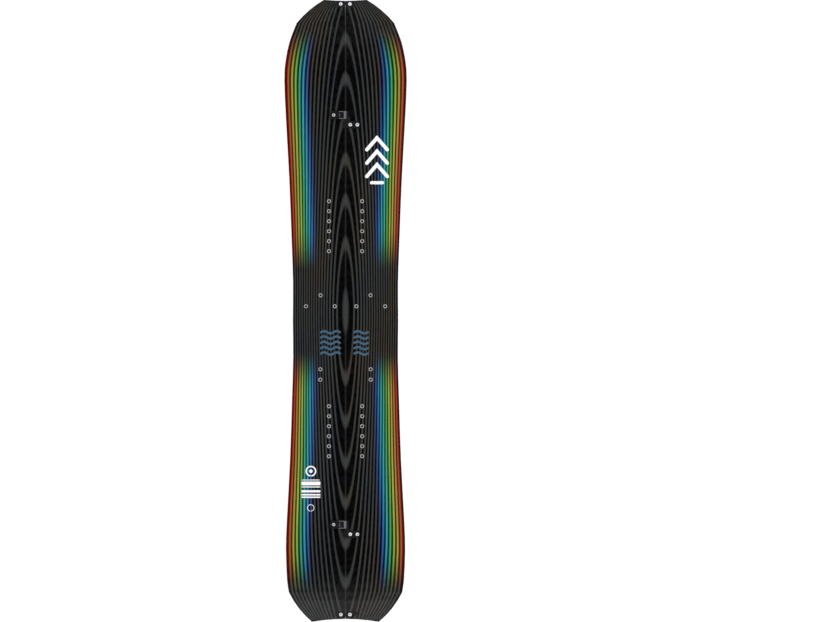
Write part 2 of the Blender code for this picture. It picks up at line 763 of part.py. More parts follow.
def add_tip_latch(end, hook_half, post_half):
    """The nose or tail latch: a hook that turns on one half and catches a screw post on the other."""
    frame = latch_frames()[end]
    turn = frame.to_3x3().to_4x4()
    hook_frame = empty(f"{end}_latch_hook_frame", frame.translation, turn)
    hook_frame.parent = hook_half
    post_frame = empty(f"{end}_latch_post_frame", frame.translation, turn)
    post_frame.parent = post_half
    pivot = Vector((-TIP_SCREW_X, 0.0, HOOK[0]))
    plate = [(-26.0, -9.0), (-1.2, -9.0), (-1.2, 4.8), (-19.0, 4.8), (-26.0, -1.0)]
    hook_plate = solid(f"{end}_hook_plate", prism(plate, *TIP_PLATE), "clip", hook_frame)
    cut(hook_plate, holes([(-TIP_SCREW_X, 0.0)], SCREW_HOLE, -1.0, 3.0))
    post_plate = solid(f"{end}_post_plate", prism(mirrored(plate, -1.0), *TIP_PLATE), "clip", post_frame)
    cut(post_plate, holes([(TIP_SCREW_X, 0.0)], SCREW_HOLE, -1.0, 3.0))
    shape = prism([(x - TIP_SCREW_X, y) for x, y in hook_outline()], *HOOK)
    hook = solid(f"{end}_hook", shape, "clip", hook_frame, pivot)
    cut(hook, holes([(-TIP_SCREW_X, 0.0)], HOOK_HOLE, 0.0, 6.0, 10))
    ring = prism(circle((-TIP_SCREW_X, 0.0), BUSH_OUTER, 12), *HOOK)
    bush = solid(f"{end}_hook_bush", ring, "clip_bright", hook_frame, pivot)
    cut(bush, holes([(-TIP_SCREW_X, 0.0)], BUSH_INNER, 0.0, 6.0, 12))
    smooth(bush)
    add_screw(f"{end}_hook_screw", (-TIP_SCREW_X, 0.0), HOOK[1], TIP_SCREW_DEPTH, hook_frame)
    add_screw(f"{end}_post_screw", (TIP_SCREW_X, 0.0), HOOK[1], TIP_SCREW_DEPTH, post_frame)


# ---------------------------------------------------------------- the whole board


def build():
    clear_scene()
    left = empty("left_ski_frame")
    right = empty("right_ski_frame")
    add_half("left", -1.0, left)
    right_layers = add_half("right", 1.0, right)
    add_inlay(right_layers["base"], right)
    add_inserts("left", -1.0, left)
    add_inserts("right", 1.0, right)
    add_lever_latch("front", left, right)
    add_lever_latch("rear", left, right)
    add_tip_latch("nose", left, right)
    add_tip_latch("tail", right, left)


build()
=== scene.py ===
"""Looks of the splitboard: a camera straight above it, soft light, printed top sheet, metal and wood."""

import json
import math

import bmesh
import bpy
import numpy as np
from mathutils import Matrix, Vector


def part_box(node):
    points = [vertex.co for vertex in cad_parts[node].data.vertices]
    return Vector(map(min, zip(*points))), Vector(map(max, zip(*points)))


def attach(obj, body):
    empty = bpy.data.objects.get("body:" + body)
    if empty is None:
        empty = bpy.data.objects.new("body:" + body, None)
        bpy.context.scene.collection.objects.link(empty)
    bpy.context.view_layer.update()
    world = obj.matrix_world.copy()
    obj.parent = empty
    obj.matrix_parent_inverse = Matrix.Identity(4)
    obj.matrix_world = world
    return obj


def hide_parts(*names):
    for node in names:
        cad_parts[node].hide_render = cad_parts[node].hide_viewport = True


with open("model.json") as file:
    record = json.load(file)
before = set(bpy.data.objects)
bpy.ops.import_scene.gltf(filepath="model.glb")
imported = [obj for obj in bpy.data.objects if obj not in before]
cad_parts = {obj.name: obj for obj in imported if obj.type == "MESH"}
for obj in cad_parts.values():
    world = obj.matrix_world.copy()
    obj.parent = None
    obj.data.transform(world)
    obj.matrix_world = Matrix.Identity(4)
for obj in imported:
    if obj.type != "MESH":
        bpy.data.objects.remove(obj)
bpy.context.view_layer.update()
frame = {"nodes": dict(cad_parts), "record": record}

NODES = frame["nodes"]
BODY_OF = {node: body for body, nodes in frame["record"]["behaviour"]["bodies"].items() for node in nodes}
JOINTS = {joint["name"]: joint for joint in frame["record"]["behaviour"]["joints"]}
MM = 0.001
UP = Vector((0.0, 0.0, 1.0))
SIDES = (("left", -1.0), ("right", 1.0))

# The picture: the board stands left of the middle, and its length fills the height.
IMAGE_WIDTH = 2.108
VIEW_CENTRE_X = 0.1765
LENS = 200.0
SENSOR = 36.0

# The top sheet, in metres.
SHEET_THICKNESS = 0.0006
GRID_STEP = 0.0025
GRID_COLUMNS = 62
EDGE_ROLL = 0.0011
EDGE_DROP = 0.0003

# Its print is plain: even stripes that run with the outline at the sides and arch over the seam, inside
# a dark border. Lengths are in metres.
STRIPES_ACROSS = 18.0
STRIPE_WIDTH = 0.0042
ARCH_PITCH = 0.100
ARCH_BREADTH = 0.040
BORDER = 0.0032
# How far from the seam the painted highlight of the seam's edges reaches, in metres.
SEAM_HIGHLIGHT_WIDTH = 0.0012
# One spectrum comes in from the outline toward each end, the same at the nose and the tail. The last two
# are the hue at the outline and how far the hue runs from there.
SPECTRUM_DEEP = 0.060
SPECTRUM_FROM = 0.220
SPECTRUM_TO = 0.600
SPECTRUM_FADE = 0.120
SPECTRUM_HUE = 0.07
SPECTRUM_SPAN = 0.80

# Threaded inserts, in metres.
INSERT_RADIUS = 0.0048
THREAD_RADIUS = 0.0027


# The floor glows round the board: strength, the half axes of the dark oval under the board, and how far
# from the middle the dark strip under the seam starts and stops fading, across and along. Lengths in metres.
FLOOR_GLOW = 0.72
OVAL_HALF_AXES = (0.13, 0.74)
OVAL_FADE = (0.75, 1.0)
SEAM_STRIP = (("X", 0.025, 0.05), ("Y", 0.765, 0.783))


# ---------------------------------------------------------------- camera, light, floor


def add_camera():
    data = bpy.data.cameras.new("camera")
    data.lens = LENS
    data.sensor_width = SENSOR
    data.clip_end = 100.0
    camera = bpy.data.objects.new("camera", data)
    camera.location = (VIEW_CENTRE_X, 0.0, IMAGE_WIDTH * LENS / SENSOR + 0.02)
    bpy.context.collection.objects.link(camera)
    bpy.context.scene.camera = camera


def add_sun(name, azimuth, elevation, strength, spread):
    data = bpy.data.lights.new(name, "SUN")
    data.energy = strength
    data.angle = math.radians(spread)
    lamp = bpy.data.objects.new(name, data)
    lamp.rotation_euler = (math.radians(90.0 - elevation), 0.0, math.radians(azimuth))
    bpy.context.collection.objects.link(lamp)


def add_world():
    """A pale surround that darkens overhead, so that gloss seen from above stays deep."""
    world = bpy.data.worlds.new("surround")
    bpy.context.scene.world = world
    world.use_nodes = True
    tree = world.node_tree
    coordinates = tree.nodes.new("ShaderNodeTexCoord")
    split = tree.nodes.new("ShaderNodeSeparateXYZ")
    ramp = tree.nodes.new("ShaderNodeValToRGB")
    ramp.color_ramp.elements[0].position = 0.10
    ramp.color_ramp.elements[0].color = (0.93, 0.93, 0.94, 1.0)
    ramp.color_ramp.elements[1].position = 0.75
    ramp.color_ramp.elements[1].color = (0.015, 0.015, 0.016, 1.0)
    tree.links.new(coordinates.outputs["Generated"], split.inputs[0])
    tree.links.new(split.outputs["Z"], ramp.inputs[0])
    tree.links.new(ramp.outputs[0], tree.nodes["Background"].inputs["Color"])
    tree.nodes["Background"].inputs["Strength"].default_value = 1.0


def add_floor():
    size = 60.0
    mesh = bpy.data.meshes.new("floor")
    corners = [(-size, -size, -0.0004), (size, -size, -0.0004), (size, size, -0.0004), (-size, size, -0.0004)]
    mesh.from_pydata(corners, [], [(0, 1, 2, 3)])
    floor = bpy.data.objects.new("floor", mesh)
    bpy.context.collection.objects.link(floor)
    floor.data.materials.append(plain("floor", srgb(190, 190, 190), 0.9, 0.0, 0.01, 3.0))
    light_floor(floor.data.materials[0].node_tree)


def light_floor(tree):
    """The floor glows a little round the board, which keeps it even, and not in the board's own shade."""
    surface = tree.nodes["Principled BSDF"]
    coordinates = tree.nodes.new("ShaderNodeTexCoord")
    scaling = tree.nodes.new("ShaderNodeMapping")
    scaling.inputs["Scale"].default_value = (1.0 / OVAL_HALF_AXES[0], 1.0 / OVAL_HALF_AXES[1], 0.0)
    distance = tree.nodes.new("ShaderNodeVectorMath")
    distance.operation = "LENGTH"
    glow = tree.nodes.new("ShaderNodeMapRange")
    glow.interpolation_type = "SMOOTHSTEP"
    for socket, value in zip(glow.inputs[1:5], (*OVAL_FADE, 0.0, FLOOR_GLOW)):
        socket.default_value = value
    tree.links.new(coordinates.outputs["Object"], scaling.inputs["Vector"])
    tree.links.new(scaling.outputs[0], distance.inputs[0])
    tree.links.new(distance.outputs["Value"], glow.inputs[0])
    split = tree.nodes.new("ShaderNodeSeparateXYZ")
    tree.links.new(coordinates.outputs["Object"], split.inputs[0])
    under_seam = []
    for axis, near, far in SEAM_STRIP:
        size = tree.nodes.new("ShaderNodeMath")
        size.operation = "ABSOLUTE"
        rise = tree.nodes.new("ShaderNodeMapRange")
        for socket, value in zip(rise.inputs[1:5], (near, far, 0.0, FLOOR_GLOW)):
            socket.default_value = value
        tree.links.new(split.outputs[axis], size.inputs[0])
        tree.links.new(size.outputs[0], rise.inputs[0])
        under_seam.append(rise)
    beside = tree.nodes.new("ShaderNodeMath")
    beside.operation = "MAXIMUM"
    tree.links.new(under_seam[0].outputs[0], beside.inputs[0])
    tree.links.new(under_seam[1].outputs[0], beside.inputs[1])
    lowest = tree.nodes.new("ShaderNodeMath")
    lowest.operation = "MINIMUM"
    tree.links.new(beside.outputs[0], lowest.inputs[0])
    tree.links.new(glow.outputs[0], lowest.inputs[1])
    tree.links.new(lowest.outputs[0], surface.inputs["Emission Strength"])
    surface.inputs["Emission Color"].default_value = (1.0, 1.0, 1.0, 1.0)


def set_stage():
    bpy.context.scene.view_settings.view_transform = "Standard"
    add_camera()
    add_world()
    add_sun("key", 40.0, 52.0, 1.25, 30.0)
    add_sun("fill_left", -60.0, 50.0, 0.85, 40.0)
    add_sun("fill_back", 150.0, 50.0, 0.75, 40.0)
    add_sun("fill_right", -140.0, 55.0, 0.6, 40.0)
    add_floor()


# ---------------------------------------------------------------- shader building


def srgb(red, green, blue):
    """A colour given in the usual 0 to 255 screen values."""
    linear = []
    for value in (red, green, blue):
        part = value / 255.0
        linear.append(part / 12.92 if part <= 0.04045 else ((part + 0.055) / 1.055) ** 2.4)
    return (*linear, 1.0)


class Shader:
    """A Principled material and short ways to add nodes to it."""

    def __init__(self, name, colour, roughness, metallic):
        self.material = bpy.data.materials.new(name)
        self.material.use_nodes = True
        self.tree = self.material.node_tree
        self.surface = self.tree.nodes["Principled BSDF"]
        self.surface.inputs["Base Color"].default_value = colour
        self.surface.inputs["Roughness"].default_value = roughness
        self.surface.inputs["Metallic"].default_value = metallic
        self.material.diffuse_color = colour

    def node(self, kind, **settings):
        made = self.tree.nodes.new(kind)
        for key, value in settings.items():
            setattr(made, key, value)
        return made

    def put(self, value, socket):
        if isinstance(value, bpy.types.NodeSocket):
            self.tree.links.new(value, socket)
        else:
            socket.default_value = value

    def math(self, operation, first, second=0.0, third=0.0, clamp=False):
        made = self.node("ShaderNodeMath", operation=operation, use_clamp=clamp)
        for value, socket in zip((first, second, third), made.inputs):
            self.put(value, socket)
        return made.outputs[0]

    def mix(self, factor, first, second, blend="MIX"):
        made = self.node("ShaderNodeMix", data_type="RGBA", blend_type=blend)
        self.put(factor, made.inputs[0])
        self.put(first, made.inputs[6])
        self.put(second, made.inputs[7])
        return made.outputs[2]

    def smooth(self, value, low, high, to_low=0.0, to_high=1.0):
        made = self.node("ShaderNodeMapRange", interpolation_type="SMOOTHSTEP")
        for number, socket in zip((value, low, high, to_low, to_high), made.inputs):
            self.put(number, socket)
        return made.outputs[0]

    def attribute(self, name):
        return self.node("ShaderNodeAttribute", attribute_name=name).outputs["Fac"]

    def place(self, scale):
        """Object coordinates, stretched."""
        coordinates = self.node("ShaderNodeTexCoord")
        mapping = self.node("ShaderNodeMapping")
        mapping.inputs["Scale"].default_value = scale
        self.put(coordinates.outputs["Object"], mapping.inputs["Vector"])
        return mapping.outputs[0]

    def noise(self, scale, detail=3.0, rough=0.5, stretch=(1.0, 1.0, 1.0)):
        made = self.node("ShaderNodeTexNoise")
        self.put(self.place(stretch), made.inputs["Vector"])
        made.inputs["Scale"].default_value = scale
        made.inputs["Detail"].default_value = detail
        made.inputs["Roughness"].default_value = rough
        return made.outputs[0]

    def bump(self, height, strength, distance):
        made = self.node("ShaderNodeBump")
        made.inputs["Strength"].default_value = strength
        made.inputs["Distance"].default_value = distance
        self.put(height, made.inputs["Height"])
        self.put(made.outputs[0], self.surface.inputs["Normal"])

    def ramp(self, value, stops):
        made = self.node("ShaderNodeValToRGB")
        elements = made.color_ramp.elements
        while len(elements) < len(stops):
            elements.new(0.5)
        for element, (position, colour) in zip(elements, stops):
            element.position = position
            element.color = colour
        self.put(value, made.inputs[0])
        return made.outputs[0]


def plain(name, colour, roughness, metallic, variation, scale):
    """A surface with soft uneven patches in its colour and finer grain in its roughness."""
    shader = Shader(name, colour, roughness, metallic)
    patches = shader.noise(scale)
    darker = tuple(c * (1.0 - 2.0 * variation) for c in colour[:3]) + (1.0,)
    lighter = tuple(min(c * (1.0 + 2.0 * variation), 1.0) for c in colour[:3]) + (1.0,)
    shader.put(shader.mix(patches, darker, lighter), shader.surface.inputs["Base Color"])
    rough = shader.smooth(shader.noise(scale * 3.0), 0.3, 0.7, roughness * 0.85, min(roughness * 1.15, 1.0))
    shader.put(rough, shader.surface.inputs["Roughness"])
    return shader.material


def brushed(name, colour, roughness, stretch, grain=0.25, metallic=1.0):
    """Metal with fine parallel tool marks."""
    shader = Shader(name, colour, roughness, metallic)
    marks = shader.noise(900.0, 4.0, 0.6, stretch)
    shade = shader.mix(marks, tuple(c * (1.0 - grain) for c in colour[:3]) + (1.0,), colour)
    shader.put(shade, shader.surface.inputs["Base Color"])
    gloss = shader.smooth(marks, 0.3, 0.7, roughness * 0.8, roughness * 1.3)
    shader.put(gloss, shader.surface.inputs["Roughness"])
    shader.bump(marks, 0.15, 0.00005)
    return shader.material


def recessed_steel(name, colour, metallic):
    """Turned steel that is dark down in its bore or socket, where little light gets."""
    shader = Shader(name, colour, 0.3, metallic)
    marks = shader.noise(1400.0, 2.0)
    darker = tuple(c * 0.8 for c in colour[:3]) + (1.0,)
    face = shader.mix(marks, darker, colour)
    shade = shader.mix(shader.attribute("depth"), face, srgb(14, 14, 16))
    shader.put(shade, shader.surface.inputs["Base Color"])
    shader.put(shader.smooth(marks, 0.3, 0.7, 0.26, 0.38), shader.surface.inputs["Roughness"])
    return shader.material


def anodised(name, colour, roughness):
    """Blasted and dyed aluminium: fine pits and a slightly uneven dye."""
    shader = Shader(name, colour, roughness, 0.6)
    pits = shader.noise(2600.0, 2.0)
    tone = shader.noise(60.0)
    lighter = tuple(min(c * 1.35, 1.0) for c in colour[:3]) + (1.0,)
    shader.put(shader.mix(tone, colour, lighter), shader.surface.inputs["Base Color"])
    gloss = shader.smooth(pits, 0.3, 0.7, roughness * 0.85, roughness * 1.25)
    shader.put(gloss, shader.surface.inputs["Roughness"])
    shader.bump(pits, 0.12, 0.00004)
    return shader.material


def wood(name):
    """Core strips of two pale woods with grain along the board."""
    shader = Shader(name, srgb(196, 160, 112), 0.6, 0.0)
    grain = shader.noise(90.0, 6.0, 0.6, (1.0, 0.04, 1.0))
    strips = shader.node("ShaderNodeTexWave", wave_type="BANDS", bands_direction="X", wave_profile="SAW")
    shader.put(shader.place((1.0, 1.0, 1.0)), strips.inputs["Vector"])
    strips.inputs["Scale"].default_value = 14.0
    which = shader.smooth(strips.outputs["Fac"], 0.35, 0.4)
    tone = shader.mix(which, srgb(205, 172, 122), srgb(178, 134, 88))
    shader.put(shader.mix(grain, srgb(140, 98, 60), tone), shader.surface.inputs["Base Color"])
    shader.bump(grain, 0.2, 0.0001)
    return shader.material


def glass_cloth(name):
    """Resin-wet woven glass."""
    shader = Shader(name, srgb(196, 200, 170), 0.35, 0.0)
    weaves = []
    for direction in ("X", "Y"):
        wave = shader.node("ShaderNodeTexWave", wave_type="BANDS", bands_direction=direction)
        shader.put(shader.place((1.0, 1.0, 1.0)), wave.inputs["Vector"])
        wave.inputs["Scale"].default_value = 330.0
        weaves.append(wave.outputs["Fac"])
    cloth = shader.math("MULTIPLY", *weaves)
    shade = shader.mix(cloth, srgb(150, 156, 120), srgb(212, 214, 190))
    shader.put(shade, shader.surface.inputs["Base Color"])
    shader.bump(cloth, 0.3, 0.00008)
    return shader.material


def sintered_base(name, colour, contrast):
    """Stone-ground base: fine lengthwise structure in a waxed plastic."""
    shader = Shader(name, colour, 0.42, 0.0)
    structure = shader.noise(700.0, 3.0, 0.6, (1.0, 0.02, 1.0))
    wax = shader.noise(9.0, 3.0)
    lighter = tuple(min(c * (1.0 + contrast), 1.0) for c in colour[:3]) + (1.0,)
    shader.put(shader.mix(structure, colour, lighter), shader.surface.inputs["Base Color"])
    shader.put(shader.smooth(wax, 0.3, 0.7, 0.34, 0.52), shader.surface.inputs["Roughness"])
    shader.bump(structure, 0.25, 0.00006)
    return shader.material


# The spectrum between the stripes and on them, from its red side to its violet side.
GAP_SPECTRUM = (
    (0.00, srgb(30, 0, 26)),
    (0.07, srgb(84, 0, 4)),
    (0.14, srgb(104, 0, 2)),
    (0.27, srgb(74, 44, 0)),
    (0.40, srgb(52, 66, 0)),
    (0.52, srgb(0, 62, 8)),
    (0.66, srgb(0, 64, 72)),
    (0.80, srgb(0, 30, 92)),
    (0.92, srgb(4, 0, 74)),
    (1.00, srgb(6, 0, 36)),
)
LINE_SPECTRUM = (
    (0.00, srgb(96, 46, 92)),
    (0.07, srgb(136, 38, 46)),
    (0.14, srgb(158, 44, 38)),
    (0.27, srgb(176, 130, 64)),
    (0.40, srgb(164, 182, 78)),
    (0.52, srgb(78, 158, 86)),
    (0.66, srgb(62, 164, 168)),
    (0.80, srgb(52, 112, 168)),
    (0.92, srgb(62, 66, 136)),
    (1.00, srgb(62, 54, 88)),
)


def printed_sheet(name):
    """The printed top sheet: stripes and a spectrum from the sheet's own fields, and a painted highlight
    along the seam, under clear gloss.
    """
    shader = Shader(name, srgb(6, 6, 7), 0.22, 0.0)
    turns = shader.math("MULTIPLY", shader.attribute("stripe"), 2.0 * math.pi)
    wave = shader.math("MULTIPLY_ADD", shader.math("COSINE", turns), 0.5, 0.5)
    over = shader.math("SUBTRACT", wave, shader.attribute("level"))
    line = shader.smooth(over, -0.24, 0.22)
    tint = shader.noise(13.0, 2.0, 0.5, (1.0, 0.3, 1.0))
    stops = ((0.34, srgb(50, 54, 58)), (0.5, srgb(56, 58, 55)), (0.66, srgb(61, 56, 50)))
    grey = shader.mix(line, srgb(1, 1, 2), shader.ramp(tint, stops))
    hue = shader.attribute("hue")
    spectrum = shader.mix(line, shader.ramp(hue, GAP_SPECTRUM), shader.ramp(hue, LINE_SPECTRUM))
    colour = shader.mix(shader.attribute("glow"), grey, spectrum)
    colour = shader.mix(shader.attribute("shade"), srgb(1, 1, 2), colour)
    # Painted highlight: a grey added along the seam, standing in for light on the seam's edges.
    painted_seam_highlight = shader.mix(shader.attribute("painted_seam_highlight"), srgb(0, 0, 0), srgb(84, 82, 84))
    shader.put(shader.mix(1.0, colour, painted_seam_highlight, "ADD"), shader.surface.inputs["Base Color"])
    film = shader.noise(90.0, 2.0)
    shader.put(shader.smooth(film, 0.3, 0.7, 0.17, 0.25), shader.surface.inputs["Roughness"])
    shader.surface.inputs["Specular IOR Level"].default_value = 0.3
    return shader.material


def make_materials():
    return {
        "topsheet": printed_sheet("printed_topsheet"),
        "laminate": glass_cloth("glass_cloth"),
        "core": wood("core_wood"),
        "base": sintered_base("ground_base", srgb(14, 14, 15), 1.2),
        "inlay": sintered_base("light_base", srgb(232, 232, 230), 0.04),
        "steel_edge": brushed("steel_edge", srgb(150, 150, 152), 0.3, (1.0, 0.02, 1.0)),
        "sidewall": plain("sidewall", srgb(16, 16, 17), 0.45, 0.0, 0.2, 300.0),
        "insert": recessed_steel("insert_steel", srgb(226, 226, 228), 0.4),
        "screw": recessed_steel("screw_steel", srgb(240, 240, 242), 0.35),
        "dark_screw": recessed_steel("black_screw_steel", srgb(44, 42, 46), 0.5),
        "clip": anodised("black_anodised", srgb(15, 15, 18), 0.38),
        "clip_bright": anodised("grey_anodised", srgb(112, 110, 114), 0.36),
        "white_ink": plain("white_ink", srgb(246, 246, 246), 0.4, 0.0, 0.01, 40.0),
        "blue_ink": plain("blue_ink", srgb(52, 88, 112), 0.4, 0.0, 0.1, 160.0),
    }


# ---------------------------------------------------------------- pieces


def add_piece(name, mesh, material, body, replaced=()):
    piece = bpy.data.objects.new(name, mesh)
    bpy.context.collection.objects.link(piece)
    mesh.materials.clear()
    mesh.materials.append(material)
    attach(piece, body)
    if replaced:
        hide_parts(*replaced)
    return piece


def mesh_of(shape, name, smooth_angle=35.0):
    bmesh.ops.recalc_face_normals(shape, faces=shape.faces)
    mesh = bpy.data.meshes.new(name)
    shape.to_mesh(mesh)
    shape.free()
    mesh.shade_smooth()
    mesh.set_sharp_from_angle(angle=math.radians(smooth_angle))
    return mesh


def applied(piece):
    """Bakes a piece's modifiers into its mesh."""
    bpy.context.view_layer.update()
    graph = bpy.context.evaluated_depsgraph_get()
    mesh = bpy.data.meshes.new_from_object(piece.evaluated_get(graph))
    piece.modifiers.clear()
    piece.data = mesh
    return piece


def refine(node, look, width=0.0003, segments=3, angle=25.0):
    """A CAD node's form with its flat faces made whole and every edge rounded over."""
    shape = bmesh.new()
    shape.from_mesh(NODES[node].data)
    bmesh.ops.remove_doubles(shape, verts=shape.verts, dist=1e-6)
    bmesh.ops.dissolve_limit(
        shape,
        angle_limit=math.radians(1.0),
        verts=shape.verts,
        edges=shape.edges,
        use_dissolve_boundaries=False,
    )
    mesh = mesh_of(shape, f"{node}_fine", 50.0)
    piece = add_piece(f"{node}_fine", mesh, LOOKS[look], BODY_OF[node], (node,))
    bevel = piece.modifiers.new("rounded", "BEVEL")
    bevel.width = width
    bevel.segments = segments
    bevel.limit_method = "ANGLE"
    bevel.angle_limit = math.radians(angle)
    bevel.use_clamp_overlap = True
    bevel.harden_normals = True
    return applied(piece)


def vertices(node):
    mesh = NODES[node].data
    found = np.empty(len(mesh.vertices) * 3)
    mesh.vertices.foreach_get("co", found)
    return found.reshape(-1, 3)


def stand(node, axis=UP):
    """A frame on a turned node's axis with Z along it: the matrix, and the lowest and highest Z in it."""
    turn = UP.rotation_difference(axis).to_matrix()
    local = vertices(node) @ np.array(turn)
    low, high = local.min(axis=0), local.max(axis=0)
    centre = (low + high) / 2.0
    matrix = turn.to_4x4() @ Matrix.Translation((centre[0], centre[1], 0.0))
    return matrix, low[2], high[2]


def turned(shape, profile, sides, matrix, closed=False):
    """Adds a solid of revolution: an open profile runs from axis to axis, a closed one is a ring."""
    rings = []
    for radius, height in profile:
        if radius == 0.0:
            rings.append([shape.verts.new(matrix @ Vector((0.0, 0.0, height)))])
            continue
        ring = []
        for i in range(sides):
            angle = 2.0 * math.pi * i / sides
            point = Vector((radius * math.cos(angle), radius * math.sin(angle), height))
            ring.append(shape.verts.new(matrix @ point))
        rings.append(ring)
    pairs = list(zip(rings, rings[1:]))
    if closed:
        pairs.append((rings[-1], rings[0]))
    for low, high in pairs:
        for i in range(sides):
            j = (i + 1) % sides
            corners = [low[i % len(low)], low[j % len(low)], high[j % len(high)], high[i % len(high)]]
            unique = list(dict.fromkeys(corners))
            if len(unique) > 2:
                shape.faces.new(unique)


# ---------------------------------------------------------------- the board's form, read from the frame


class Rows:
    """Width and height of one half's top sheet along the board, read from its CAD node."""

    def __init__(self, node):
        mesh = NODES[node].data
        points = vertices(node)
        edges = np.empty(len(mesh.edges) * 2, dtype=np.int64)
        mesh.edges.foreach_get("vertices", edges)
        edges = edges.reshape(-1, 2)
        self.a, self.b = points[edges[:, 0]], points[edges[:, 1]]
        outline_ys = np.unique(np.round(points[:, 1], 6))
        low, high = outline_ys[0] + 2e-5, outline_ys[-1] - 2e-5
        count = int(math.ceil((high - low) / GRID_STEP))
        ys = np.concatenate([np.linspace(low, high, count + 1), outline_ys[1:-1]])
        ys = np.unique(np.round(ys, 5))
        keep = [ys[0]]
        for y in ys[1:]:
            if y - keep[-1] > 4e-4:
                keep.append(y)
        self.ys = np.array(keep)
        self.inner, self.outer, self.top = np.array([self.cross(y) for y in self.ys]).T

    def cross(self, y):
        """Smallest and largest |x| and the greatest height where the sheet crosses a line y = constant."""
        ya, yb = self.a[:, 1], self.b[:, 1]
        across = (ya - y) * (yb - y) <= 0.0
        across &= np.abs(yb - ya) > 1e-9
        t = (y - ya[across]) / (yb - ya)[across]
        hit = self.a[across] + (self.b - self.a)[across] * t[:, None]
        x = np.abs(hit[:, 0])
        return x.min(), x.max(), hit[:, 2].max()

    def height(self, y):
        return float(np.interp(y, self.ys, self.top))

    def half_width(self, y):
        return np.interp(y, self.ys, self.outer)


# ---------------------------------------------------------------- fields of the print


def fade(value, low, high):
    """0 below low, 1 above high, smooth between; the other way round when high is below low."""
    t = np.clip((value - low) / (high - low), 0.0, 1.0)
    return t * t * (3.0 - 2.0 * t)


def stripe_field(ax, y, rows):
    """The stripes are its level lines: an even count across, and an arch for each pitch from the waist."""
    edge = rows.half_width(y)
    reach = np.sqrt(edge**2 + ARCH_BREADTH**2) - ARCH_BREADTH
    out = (np.sqrt(ax**2 + ARCH_BREADTH**2) - ARCH_BREADTH) / np.maximum(reach, 1e-4)
    arches = (np.sqrt(y**2 + ARCH_PITCH**2) - ARCH_PITCH) / ARCH_PITCH
    return STRIPES_ACROSS * out + arches * (1.0 - out)


def stripe_level(ax, y, rows):
    """How high the stripes' wave has to be to show, so that stripes keep one width where they spread."""
    step = 0.0008
    here = stripe_field(ax, y, rows)
    across = (stripe_field(ax + step, y, rows) - here) / step
    along = (stripe_field(ax, y + step, rows) - here) / step
    half = np.clip(STRIPE_WIDTH / 2.0 * np.hypot(across, along), 0.13, 0.25)
    return 0.5 + 0.5 * np.cos(2.0 * np.pi * half)


def spectrum(ax, y, rows):
    """Hue by distance from the outline, and how strongly it shows."""
    depth = np.maximum(rows.half_width(y) - ax, 0.0)
    hue = SPECTRUM_HUE + SPECTRUM_SPAN * np.clip(depth / SPECTRUM_DEEP, 0.0, 1.0)
    from_waist = np.abs(y)
    near = fade(from_waist, SPECTRUM_FROM - SPECTRUM_FADE, SPECTRUM_FROM)
    far = fade(from_waist, SPECTRUM_TO + SPECTRUM_FADE, SPECTRUM_TO)
    return hue, near * far * fade(depth, 1.15 * SPECTRUM_DEEP, 0.80 * SPECTRUM_DEEP)


def print_fields(points, rows):
    """Every field of the print, and the painted highlight along the seam, at the sheet's points."""
    ax, y = np.abs(points[:, 0]), points[:, 1]
    stripe = stripe_field(ax, y, rows)
    hue, glow = spectrum(ax, y, rows)
    shade = 1.0 - 0.15 * glow
    border = fade(rows.half_width(y) - ax, BORDER * 0.55, BORDER)
    ends = fade(rows.ys[-1] - y, 0.0028, 0.0045) * fade(y - rows.ys[0], 0.0035, 0.006)
    shade = shade * border * ends
    # Painted highlight: a thin grey line along the seam, fading out from it, standing in for light on the
    # seam's edges.
    seam_highlight_mask = fade(ax, SEAM_HIGHLIGHT_WIDTH, 0.0007)
    painted_seam_highlight = seam_highlight_mask * 0.30 * ends
    return {
        "stripe": stripe,
        "level": stripe_level(ax, y, rows),
        "hue": np.clip(hue, 0.0, 1.0),
        "glow": glow,
        "shade": shade,
        "painted_seam_highlight": painted_seam_highlight,
    }


# ---------------------------------------------------------------- top sheet


def sheet_shape(rows, side):
    """One half's top sheet as a fine grid on top, with a rolled-over outer edge and a plain underside."""
    shape = bmesh.new()
    columns = np.linspace(0.0, 1.0, GRID_COLUMNS + 1)
    grid, inner_low, outer_low = [], [], []
    for y, x_in, x_out, z in zip(rows.ys, rows.inner, rows.outer, rows.top):
        width = x_out - x_in
        roll = min(EDGE_ROLL, width * 0.2)
        row = []
        for t in columns:
            x = x_in + (width - roll) * t
            row.append(shape.verts.new((side * x, y, z)))
        row.append(shape.verts.new((side * (x_out - roll * 0.35), y, z - EDGE_DROP * 0.3)))
        row.append(shape.verts.new((side * x_out, y, z - EDGE_DROP)))
        grid.append(row)
        inner_low.append(shape.verts.new((side * x_in, y, z - SHEET_THICKNESS)))
        outer_low.append(shape.verts.new((side * x_out, y, z - SHEET_THICKNESS)))
    for i in range(len(grid) - 1):
        for j in range(len(grid[i]) - 1):
            shape.faces.new((grid[i][j], grid[i][j + 1], grid[i + 1][j + 1], grid[i + 1][j]))
        shape.faces.new((inner_low[i], inner_low[i + 1], outer_low[i + 1], outer_low[i]))
        shape.faces.new((grid[i][0], grid[i + 1][0], inner_low[i + 1], inner_low[i]))
        shape.faces.new((grid[i][-1], outer_low[i], outer_low[i + 1], grid[i + 1][-1]))
    shape.faces.new(grid[0] + [outer_low[0], inner_low[0]])
    shape.faces.new(grid[-1] + [outer_low[-1], inner_low[-1]])
    return shape


def bore_tool(spots):
    """Round cutters through the top sheet, as one mesh."""
    shape = bmesh.new()
    for matrix, radius, low, high in spots:
        turned(shape, [(0.0, low), (radius, low), (radius, high), (0.0, high)], 28, matrix)
    return mesh_of(shape, "bores")


